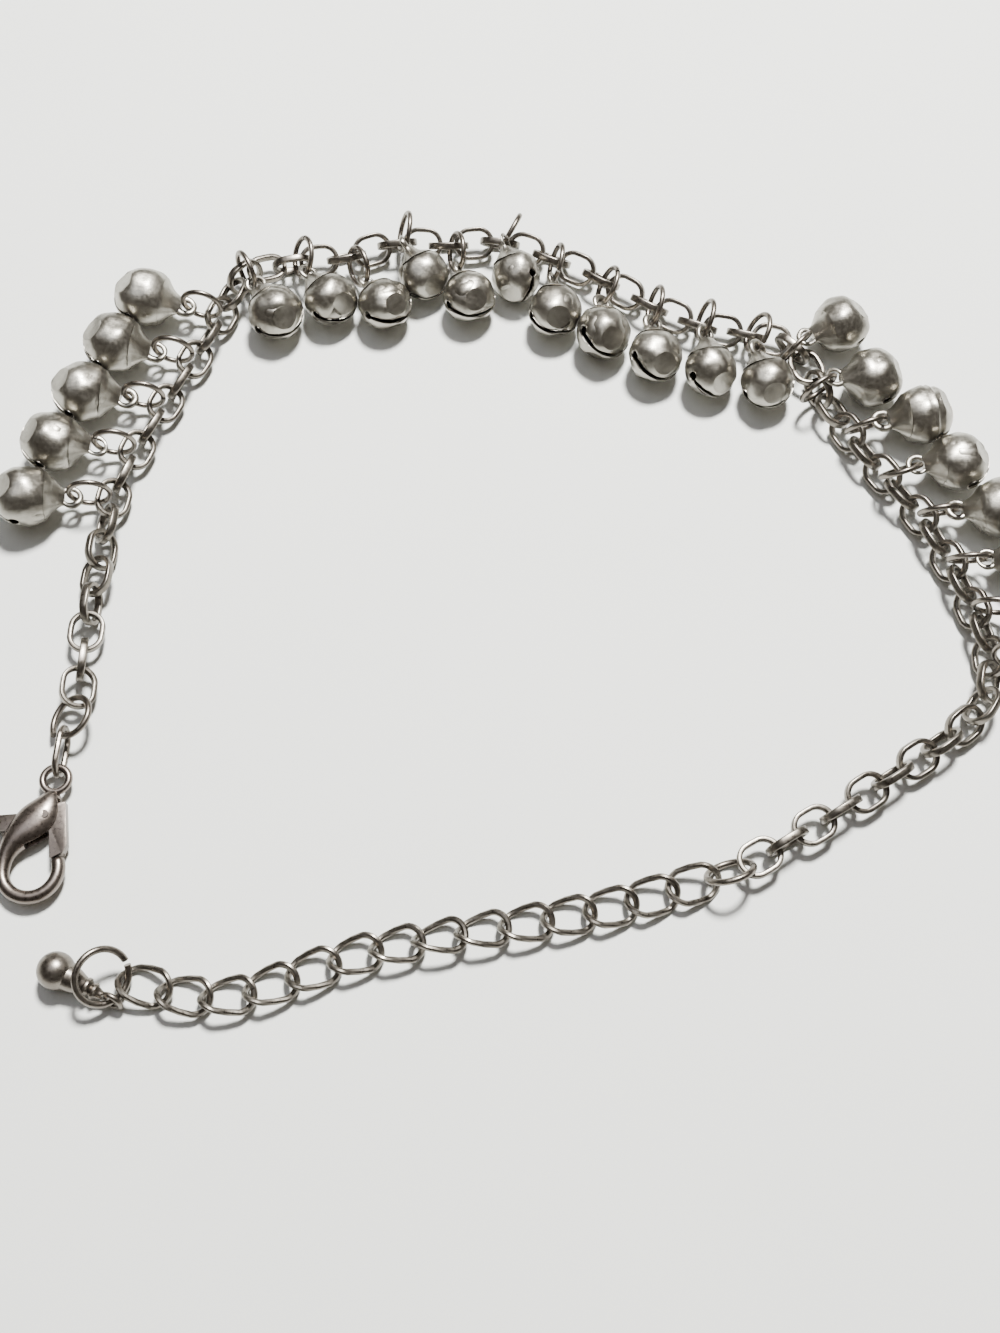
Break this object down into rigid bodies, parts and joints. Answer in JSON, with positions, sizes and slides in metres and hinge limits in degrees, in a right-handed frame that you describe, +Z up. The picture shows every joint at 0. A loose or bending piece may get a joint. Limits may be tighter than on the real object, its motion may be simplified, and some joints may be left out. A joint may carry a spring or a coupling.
{
  "type": "bell anklet",
  "caption": "Ankle chain of oval links hung with small slit jingle bells along its middle, with a lobster clasp and a curb extender that ends in a ring and a ball drop",
  "frame": {"origin": "middle of the footprint of the anklet as it lies, on the surface that it lies on", "axes": "+X to the right and +Y away from the viewer as the picture shows it, +Z up"},
  "size_m": [0.1022, 0.0812, 0.0058],
  "materials": {
    "chain_metal": "worn bright plating",
    "ring_metal": "worn bright plating",
    "bell_metal": "satin plating, scratched and tarnished",
    "clasp_metal": "worn bright plating",
    "pellet_steel": "dull"
  },
  "bodies": {
    "anklet": {"clasp_body": "clasp_metal", "clasp_ring": "ring_metal", "open_ring": "ring_metal", "chain_left": "chain_metal", "chain_right": "chain_metal", "bell_01": "bell_metal", "bell_02": "bell_metal", "bell_03": "bell_metal", "bell_04": "bell_metal", "bell_05": "bell_metal", "bell_06": "bell_metal", "bell_07": "bell_metal", "bell_08": "bell_metal", "bell_09": "bell_metal", "bell_10": "bell_metal", "bell_11": "bell_metal", "bell_12": "bell_metal", "bell_13": "bell_metal", "bell_14": "bell_metal", "bell_15": "bell_metal", "bell_16": "bell_metal", "bell_17": "bell_metal", "bell_18": "bell_metal", "bell_19": "bell_metal", "bell_20": "bell_metal", "bell_21": "bell_metal", "bell_22": "bell_metal", "bell_23": "bell_metal", "bell_24": "bell_metal", "bell_pellets": "pellet_steel", "bell_rings": "ring_metal", "extender_ring": "ring_metal", "extender_chain": "chain_metal", "end_ring": "ring_metal", "end_drop": "clasp_metal"},
    "lever": {"clasp_lever": "clasp_metal"}
  },
  "joints": [
    {"name": "clasp_pivot", "type": "hinge", "parent": "anklet", "child": "lever", "pos_m": [-0.0427, -0.02346, 0.00125], "axis": [0, 0, 1], "range_deg": [-25, 0], "stiffness_Nm_per_rad": 0.003, "springref_deg": 14.9}
  ]
}
